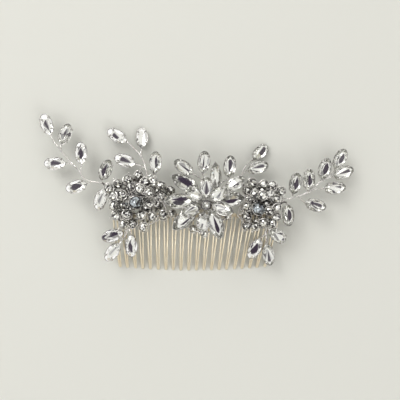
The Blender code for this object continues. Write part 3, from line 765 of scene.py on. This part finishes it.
def build_sprig(name, routes):
    """A twisted stem with its branches, and the crystals at their ends."""
    stem_node = name + "_stem"
    strand = SPRAY_STRAND if name in HINGES else STRAND
    bm = bmesh.new()
    for index, route in enumerate(routes):
        line = smooth_route(foot_route(route, stem_node))
        twisted(bm, line, strand * MM, TWIST_PITCH * MM, phase=index * TWIST_STAGGER)
        tail = [line[-1], line[-1] + (line[-1] - line[-2]).normalized() * STEM_TAIL * MM]
        sweep(bm, tail, strand / 2 * MM, 8)
    stem = piece_from(bm, stem_node + "_twist", [SILVER])
    body = name if name in HINGES else "comb"
    if name in HINGES:
        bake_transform(stem)
    else:
        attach(stem, body)
    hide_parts(stem_node)
    for *_, leaf in routes:
        add_crystal(leaf, body, nearest_corner(stem_node, leaf))


# ---- bead clusters


CLUSTERS = {
    "left_bead_cluster": {
        "cores": [
            [(-40.4, -0.9, 10.9), (-38.0, 4.0, 12.0), (-30.0, 8.0, 12.5), (-20.0, 8.0, 12.5),
             (-15.4, 4.6, 12.0), (-14.6, -0.9, 10.9)],
            [(-38.0, 4.0, 12.0), (-41.0, 9.5, 11.6), (-43.6, 12.8, 11.0)],
            [(-28.0, 8.0, 12.5), (-25.5, 13.0, 12.2), (-24.0, 17.0, 12.2)],
            [(-38.0, 4.0, 12.0), (-41.0, 11.0, 12.8), (-45.3, 15.2, 13.3)],
            [(-38.0, 4.0, 12.0), (-41.6, 9.5, 12.6), (-43.9, 12.9, 13.5)],
        ],
        "beads": [
            (-41.9, 12.6, 15.0), (-37.7, 14.5, 13.4), (-32.9, 16.6, 12.8), (-27.8, 18.8, 13.0),
            (-24.5, 15.2, 14.4), (-20.6, 15.4, 13.8), (-16.8, 13.5, 13.4), (-12.6, 11.4, 11.6),
            (-39.9, 8.6, 15.2), (-39.4, 4.0, 14.0), (-35.5, 9.2, 15.4), (-35.0, 4.6, 13.4),
            (-31.2, 13.0, 14.8), (-26.9, 12.1, 15.6), (-22.5, 10.6, 15.0), (-22.1, 5.2, 14.6),
            (-17.3, 8.2, 14.2), (-38.6, -0.6, 13.6), (-33.1, -0.2, 14.2), (-26.4, -0.4, 14.0),
            (-21.1, -1.2, 13.4), (-15.8, -0.6, 12.6), (-35.0, -5.0, 12.4), (-30.5, -4.7, 12.8),
            (-25.4, -6.3, 12.0),
            (-26.9, 15.4, 10.6), (-31.0, 12.2, 10.6), (-35.2, 10.6, 11.0), (-38.6, 7.0, 10.2),
            (-37.4, 2.6, 10.8), (-31.6, 9.0, 11.0), (-32.0, 2.8, 10.8), (-24.6, 8.2, 10.6),
            (-24.8, 3.4, 10.8), (-18.8, 11.6, 10.6), (-18.4, 4.2, 10.8), (-14.6, 8.6, 10.4),
        ],
        "big": (-28.8, 5.6, 15.2),
    },
    "right_bead_cluster": {
        "cores": [
            [(20.4, -0.9, 10.9), (22.0, 4.0, 11.8), (28.0, 7.0, 12.3), (35.0, 7.0, 12.3),
             (39.0, 3.0, 12.0), (40.4, -0.9, 10.9)],
            [(39.0, 3.0, 12.0), (41.0, 5.4, 11.4)],
            [(27.0, 7.0, 12.2), (24.0, 12.0, 12.0), (21.8, 16.2, 12.0)],
            [(39.0, 3.0, 12.0), (42.0, 5.6, 12.6), (43.8, 5.6, 12.5)],
        ],
        "beads": [
            (27.1, 15.0, 13.4), (24.8, 11.6, 11.4), (32.9, 14.2, 12.6), (37.0, 13.6, 12.4),
            (28.2, 9.6, 15.0), (32.0, 9.0, 16.0), (35.4, 10.0, 14.6), (38.4, 7.2, 14.4),
            (41.0, 11.0, 13.0), (24.4, 3.6, 13.6), (38.9, 3.2, 15.0), (35.1, 1.5, 15.2),
            (38.9, -1.4, 13.2), (24.5, -0.9, 13.6), (24.5, -5.7, 12.0), (28.8, -5.7, 12.4),
            (32.7, -4.4, 13.0), (36.8, -4.5, 12.6),
            (32.1, 11.4, 11.0), (25.8, 7.2, 11.0), (34.4, 4.9, 10.8), (37.2, 8.8, 11.0),
            (29.0, 6.6, 10.8), (24.0, 2.8, 10.4), (30.6, 2.2, 10.6), (28.4, 12.0, 10.8),
        ],
        "big": (30.0, 2.6, 15.0),
    },
    "flower_bead_wire": {
        "cores": [
            [(-11.0, 0.6, 12.6), (-5.0, -5.2, 12.0), (-1.4, -7.3, 12.0), (3.9, -9.3, 12.2),
             (9.0, -7.0, 12.0), (15.1, -1.0, 12.4)],
        ],
        "beads": [(-11.4, 0.2, 12.8), (-1.4, -7.3, 12.2), (3.9, -9.3, 12.2), (15.1, -1.0, 12.4)],
        "big": None,
    },
}


def add_mesh(bm, own, place, slot=None):
    """Copies a small mesh into a larger one."""
    copies = {vert: bm.verts.new(place @ vert.co) for vert in own.verts}
    for face in own.faces:
        made = bm.faces.new([copies[vert] for vert in face.verts])
        made.material_index = face.material_index if slot is None else slot
    own.free()


def faceted_bead(bm, middle, radius, axis, chance, slot):
    """A fire-polished bead: rows of facets about its hole, and inside them a silver lining in which
    the dark facets are painted shade among the bright ones."""
    spin = chance.uniform(0, pi)
    turn = axis.to_track_quat("Z", "Y").to_matrix().to_4x4() @ Matrix.Rotation(spin, 4, "Z")
    place = Matrix.Translation(middle) @ turn
    corners = []
    for row, (latitude, sides) in enumerate(BEAD_ROWS):
        angle = radians(latitude)
        for side in range(sides):
            around = 2 * pi * (side + 0.5 * (row % 2)) / sides
            spot = Vector((cos(angle) * cos(around), cos(angle) * sin(around), sin(angle)))
            corners.append(spot * radius)
    add_mesh(bm, hull_of(corners), place, slot)
    corners = []
    for row, (share, height) in enumerate(LINING_ROWS):
        for side in range(LINING_SIDES):
            around = 2 * pi * (side + 0.5 * (row % 2)) / LINING_SIDES
            reach = share * chance.uniform(*LINING_UNEVEN)
            corners.append(Vector((reach * cos(around), reach * sin(around), height)) * radius)
    lining = hull_of(corners, merged=False)
    # Some lining facets take the near-black material: painted shade
    shaded = chance.uniform(*SHADED_SHARE)
    for face in lining.faces:
        face.material_index = 3 if chance.random() < shaded else 2
    add_mesh(bm, lining, place)


def bead_wire(bm, foot, middle, radius, chance):
    """The wire that holds one bead: a twisted stalk that ends beside the bead, a turn of wire
    right round it, and two short curled ends where no spray swings past. Returns the direction
    of the bead's hole."""
    clear = radius + BEAD_STRAND * 0.45 * MM
    tilt = Vector((chance.uniform(-0.5, 0.5), chance.uniform(-0.5, 0.5), 1.0)).normalized()
    toward = foot - middle
    start = toward - tilt * toward.dot(tilt)
    if start.length < 0.2 * MM:
        start = tilt.orthogonal()
    start.normalize()
    across = tilt.cross(start)
    ring = []
    for step in range(20):
        angle = 2 * pi * step / 20
        ring.append(middle + (start * cos(angle) + across * sin(angle)) * clear)
    sweep(bm, ring, BEAD_STRAND / 2 * MM, 6, closed=True)
    side = middle + start * clear
    if (side - foot).length > 0.6 * MM:
        bend = foot.lerp(side, 0.5) + start * 0.5 * MM
        line = smooth_route([foot, bend, side], 6)
        twisted(bm, line, BEAD_STRAND * MM, STALK_PITCH * MM, sides=6)
    for end in (-1, 1):
        curl = []
        size = chance.uniform(*CURL_SIZE) * MM
        hub = middle + across * end * (clear + size * 0.4) - tilt * size * 0.5
        spin = chance.uniform(0, 2 * pi)
        rise = chance.uniform(-0.3, 0.5) * MM
        for step in range(11):
            angle = spin + 1.5 * pi * step / 10
            place = start * cos(angle) * size + tilt * sin(angle) * size * 0.4
            curl.append(hub + (place + across * sin(angle) * size * 0.8) + UP * rise * step / 10)
        if min((hub - drawn(*hinge)).length for hinge in HINGES.values()) > SWING_CLEARANCE * MM:
            sweep(bm, curl, BEAD_STRAND * 0.42 * MM, 6)
    return across


def net_wires(bm, middles, chance):
    """The net of painted shade: dark dipping wires from each bead to its nearest neighbours, darkening the
    gaps.
    """
    floor_z = NET_FLOOR_Z * MM
    for index, middle in enumerate(middles):
        others = sorted(middles[index + 1:], key=lambda other: (other - middle).length)
        for other in others[:NET_LINKS]:
            if (other - middle).length >= NET_REACH * MM:
                continue
            ends = [Vector((end.x, end.y, max(end.z - NET_FOOT * MM, floor_z))) for end in (middle, other)]
            aside = Vector((chance.uniform(-1, 1), chance.uniform(-1, 1), 0.0)) * NET_ASIDE * MM
            dip = (ends[0] + ends[1]) / 2 + aside
            dip.z = max(min(middle.z, other.z) - NET_DIP * MM, floor_z)
            route = smooth_route([ends[0], dip, ends[1]], 6)
            twisted(bm, route, NET_STRAND * MM, NET_PITCH * MM, sides=6)


def build_cluster(name, parts):
    """A cluster's core wires, the net between its beads, and the beads with their own wires."""
    chance = Random(len(name))
    cores = [smooth_route([drawn(*point) for point in core], 6) for core in parts["cores"]]
    spots = [spot for core in cores for spot in core]
    core_wires = bmesh.new()
    wires = bmesh.new()
    for index, core in enumerate(cores):
        rope, strands = (core_wires, 2) if index else (wires, 3)
        twisted(rope, core, CORE_STRAND * MM, CORE_PITCH * MM, strands=strands, phase=index)
    beads = bmesh.new()
    small = SMALL_BEAD_RADIUS if parts["big"] is None else BEAD_RADIUS
    jobs = [(bead, small, 0) for bead in parts["beads"]]
    if parts["big"]:
        jobs.append((parts["big"], BIG_BEAD_RADIUS, 1))
    net_wires(core_wires, [drawn(*place) for place, _, _ in jobs], chance)
    for place, radius, slot in jobs:
        middle = drawn(*place)
        foot = min(spots, key=lambda spot: (spot - middle).length)
        size = radius * MM * chance.uniform(*BEAD_SIZES)
        hole = bead_wire(wires, foot, middle, size, chance)
        faceted_bead(beads, middle, size, hole, chance, slot)
    bead_piece = piece_from(beads, name + "_beads", [BEAD, SMOKY_BEAD, LINING, SHADE], flat=True)
    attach(bead_piece, "comb")
    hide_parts(name)
    # The side cores and the net take the near-black silver, painted shade between the beads; the main core
    # and bead wires stay bright
    for suffix, bm, finish in (("_wraps", wires, SILVER), ("_core", core_wires, CORE_SILVER_PAINTED_SHADE)):
        wire_piece = piece_from(bm, name + suffix, [finish])
        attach(wire_piece, "comb")


# ---- flower


def turned(bm, profile, place, steps=32):
    """Turns (radius, height) points in metres about Z; the profile is closed on the axis."""
    rings = []
    for radius, height in profile:
        ring = []
        for step in range(steps):
            angle = 2 * pi * step / steps
            ring.append(place + Vector((radius * cos(angle), radius * sin(angle), height)))
        rings.append(ring)
    made = ring_prism(bm, rings)
    bm.faces.new(list(reversed(made[0])))
    bm.faces.new(made[-1])


def fluted_collar(bm, centre, reach, floor_z, slot):
    """The stamped rosette under the centre stone: sharp ribs that climb from the hub to the cup."""
    cup_low, cup_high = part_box("centre_cup")
    throat = (cup_high.x - cup_low.x) / 2 + 0.1 * MM
    top_z = cup_low.z + (cup_high.z - cup_low.z) * 0.75
    rings = []
    for share, lift in COLLAR_SECTION:
        ring = []
        for step in range(2 * COLLAR_RIBS):
            angle = pi * step / COLLAR_RIBS
            ridge = COLLAR_RIDGE * MM if step % 2 else -COLLAR_RIDGE * MM
            radius = reach + (throat - reach) * share
            height = floor_z + (top_z - floor_z) * lift + ridge * (1 - share)
            ring.append(Vector((centre.x + radius * cos(angle), centre.y + radius * sin(angle), height)))
        rings.append(ring)
    ring_prism(bm, rings, slot, closed=True)


def build_plate(centre):
    """The stamped plate: a hub, pierced lobes and the posts that carry the petals."""
    low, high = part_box("flower_plate")
    thick = PLATE_THICK * MM
    reach = (high.x - low.x) / 2
    middle = Vector((centre.x, centre.y, low.z))
    bm = bmesh.new()
    hub = reach * HUB_SHARE
    edge = 0.06 * MM
    turned(bm, [(hub * 0.985, 0.0), (hub, edge), (hub, thick - edge), (hub * 0.985, thick)], middle)
    for lobe in range(LOBES):
        heading = 2 * pi * lobe / LOBES
        out = Vector((cos(heading), sin(heading), 0.0))
        across = UP.cross(out)
        loop = []
        for step in range(20):
            angle = 2 * pi * step / 20
            loop.append(middle + out * (reach * 0.68 + (reach * 0.32 - 0.35 * MM) * cos(angle))
                        + across * reach * 0.21 * sin(angle) + UP * thick / 2)
        sweep(bm, loop, thick / 2, 8, closed=True)
    turned(bm, [(1.4 * MM, thick / 2), (1.4 * MM, 5.6 * MM), (1.1 * MM, 6.2 * MM)], middle, 20)
    fluted_collar(bm, centre, hub, low.z + thick, slot=1)
    top = middle + UP * thick * 0.8
    for name in petal_names():
        place, size, _ = crystal_frame(name, centre)
        floor = place.to_3x3() @ Vector((-size["length"] * 0.22, 0.0, -size["back"]))
        end = place.translation + floor
        flat = Vector((end.x - middle.x, end.y - middle.y, 0.0))
        start = top + flat * min(1.0, hub * 0.9 / flat.length)
        post = smooth_route([start, start.lerp(end, 0.5) + UP * 0.2 * MM, end], 5)
        sweep(bm, post, POST_WIRE / 2 * MM, 10)
    plate = piece_from(bm, "flower_plate_stamping", [PLATE, SETTING], sharp=20.0)
    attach(plate, "comb")
    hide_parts("flower_plate")


def build_centre(centre):
    """The round stone in its clawed cup."""
    low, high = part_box("centre_cup")
    radius = (high.x - low.x) / 2
    base = Vector((centre.x, centre.y, low.z))
    bm = bmesh.new()
    wall = CUP_WALL * MM
    height = high.z - low.z
    profile = [(radius * 0.78, 0.0), (radius * 0.82, 0.1 * MM), (radius - 0.05 * MM, height - 0.1 * MM),
               (radius - 0.12 * MM, height), (radius - wall, height), (radius - wall, 0.75 * MM),
               (radius * 0.3, 0.6 * MM)]
    turned(bm, profile, base)
    for index in range(CUP_CLAWS):
        angle = 2 * pi * (index + 0.5) / CUP_CLAWS
        inward = -Vector((cos(angle), sin(angle), 0.0))
        foot = base - inward * (radius - 0.2 * MM) + UP * height * 0.9
        claw(bm, foot, inward, 1.2 * MM, 0.9 * MM, 0.6 * MM, 0.26 * MM)
    cup = piece_from(bm, "centre_cup_claws", [SETTING], sharp=35.0)
    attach(cup, "comb")
    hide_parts("centre_cup")

    low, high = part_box("centre_stone")
    radius = (high.x - low.x) / 2
    girdle = Vector((centre.x, centre.y, low.z + (high.z - low.z) * 0.52))
    crown = high.z - girdle.z
    depth = girdle.z - low.z
    points = []
    for step in range(8):
        rows = ((0.55, 0.5, crown), (0.82, 0.0, crown * 0.58), (0.45, 0.0, -depth * 0.7))
        for share, turn, level in rows:
            angle = 2 * pi * (step + turn) / 8
            points.append(Vector((radius * share * cos(angle), radius * share * sin(angle), level)))
    for step in range(16):
        angle = 2 * pi * step / 16
        for level in (0.04, -0.04):
            points.append(Vector((radius * cos(angle), radius * sin(angle), level * crown)))
    points.append(Vector((0.0, 0.0, -depth)))
    bm = hull_stone(points)
    bm.transform(Matrix.Translation(girdle))
    stone = piece_from(bm, "centre_stone_brilliant", [CRYSTAL, FOIL], flat=True)
    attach(stone, "comb")
    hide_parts("centre_stone")


def build_flower():
    low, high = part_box("centre_stone")
    centre = (low + high) / 2
    build_plate(centre)
    build_centre(centre)
    for name in petal_names():
        add_crystal(name, "comb", centre)


# Single leaves at the clusters' edges, and a point near each one's foot
EDGE_LEAVES = {
    "left_edge_leaf_1": (-38.0, 8.0, 12.0),
    "left_edge_leaf_2": (-42.0, 14.0, 13.0),
    "right_edge_leaf": (43.8, 6.0, 12.5),
}


# ---- room


def build_floor():
    bpy.ops.mesh.primitive_plane_add(size=3.0, location=(0.0, 0.0, 0.0))
    floor = bpy.context.object
    floor.name = "floor"
    made, _, _, shader = material("pale_floor")
    shader.inputs["Base Color"].default_value = (0.76, 0.765, 0.715, 1.0)
    shader.inputs["Roughness"].default_value = 0.85
    floor.data.materials.append(made)


# Dim and bright patches of the room: direction, the angles where each starts to fade and is gone,
# and colour. Later ones lie over earlier ones.
ROOM_PATCHES = [
    ((0.6, 0.5, 0.62), 16.0, 21.0, (0.60, 0.58, 0.49)),
    ((-0.8, 0.05, 0.62), 11.0, 16.0, (0.40, 0.40, 0.42)),
    ((0.9, 0.45, 0.35), 14.0, 26.0, (0.24, 0.23, 0.25)),
    ((-0.25, -1.0, 0.45), 14.0, 28.0, (0.55, 0.50, 0.40)),
    ((0.75, -0.2, 0.6), 8.0, 11.0, (0.08, 0.07, 0.09)),
    ((-0.2, -0.8, 0.6), 8.0, 11.0, (0.08, 0.07, 0.09)),
    ((0.1, 0.8, 0.6), 8.0, 11.0, (0.08, 0.07, 0.09)),
    ((-0.75, 0.35, 0.5), 8.0, 11.0, (0.08, 0.07, 0.09)),
    ((0.45, -0.6, 0.65), 8.0, 10.0, (3.6, 3.6, 3.5)),
    ((-0.45, 0.7, 0.6), 8.0, 10.0, (3.6, 3.6, 3.5)),
    ((0.0, -0.05, 1.0), 15.0, 21.0, (0.065, 0.05, 0.075)),
]
ROOM_COLOUR = (1.0, 0.99, 0.97)
ROOM_STRENGTH = 1.02
WINDOW_POWER = 2.0


def area_light(name, place, target, size, power, colour):
    data = bpy.data.lights.new(name, "AREA")
    data.shape = "RECTANGLE"
    data.size, data.size_y = size
    data.energy = power
    data.color = colour
    lamp = bpy.data.objects.new(name, data)
    bpy.context.scene.collection.objects.link(lamp)
    lamp.location = place
    lamp.rotation_euler = (Vector(target) - Vector(place)).to_track_quat("-Z", "Y").to_euler()


def build_light():
    """A light room with dimmer and brighter patches, dimmest overhead, and one soft window."""
    world = bpy.data.worlds.new("studio")
    world.use_nodes = True
    nodes, links = world.node_tree.nodes, world.node_tree.links
    way = nodes.new("ShaderNodeTexCoord")
    colour = None
    for direction, full, faded, patch in ROOM_PATCHES:
        reach = nodes.new("ShaderNodeVectorMath")
        reach.operation = "DOT_PRODUCT"
        reach.inputs[1].default_value = Vector(direction).normalized()
        links.new(way.outputs["Generated"], reach.inputs[0])
        share = nodes.new("ShaderNodeMapRange")
        share.interpolation_type = "SMOOTHSTEP"
        share.inputs["From Min"].default_value = cos(radians(faded))
        share.inputs["From Max"].default_value = cos(radians(full))
        links.new(reach.outputs["Value"], share.inputs["Value"])
        zone = colour_mix(nodes, links, share.outputs["Result"], ROOM_COLOUR, patch)
        if colour:
            links.new(colour, zone.inputs["A"])
        colour = zone.outputs["Result"]
    links.new(colour, nodes["Background"].inputs["Color"])
    nodes["Background"].inputs["Strength"].default_value = ROOM_STRENGTH
    bpy.context.scene.world = world
    area_light("window", (-0.5, 0.45, 0.7), (0, 0, 0), (0.5, 0.5), WINDOW_POWER, (1.0, 0.99, 0.97))


def build_camera():
    data = bpy.data.cameras.new("camera")
    data.lens = LENS_MM
    data.sensor_width = 36.0
    data.clip_start = 0.01
    camera = bpy.data.objects.new("camera", data)
    camera.location = CAMERA_PLACE
    bpy.context.scene.collection.objects.link(camera)
    bpy.context.scene.camera = camera
    bpy.context.scene.view_settings.view_transform = "Standard"
    paths = bpy.context.scene.cycles
    paths.max_bounces = paths.glossy_bounces = paths.transmission_bounces = LIGHT_BOUNCES


build_camera()
build_floor()
build_light()
build_comb()
build_flower()
for cluster, parts in CLUSTERS.items():
    build_cluster(cluster, parts)
for sprig, routes in SPRIG_ROUTES.items():
    build_sprig(sprig, routes)
for leaf, toward in EDGE_LEAVES.items():
    add_crystal(leaf, "comb", drawn(*toward))
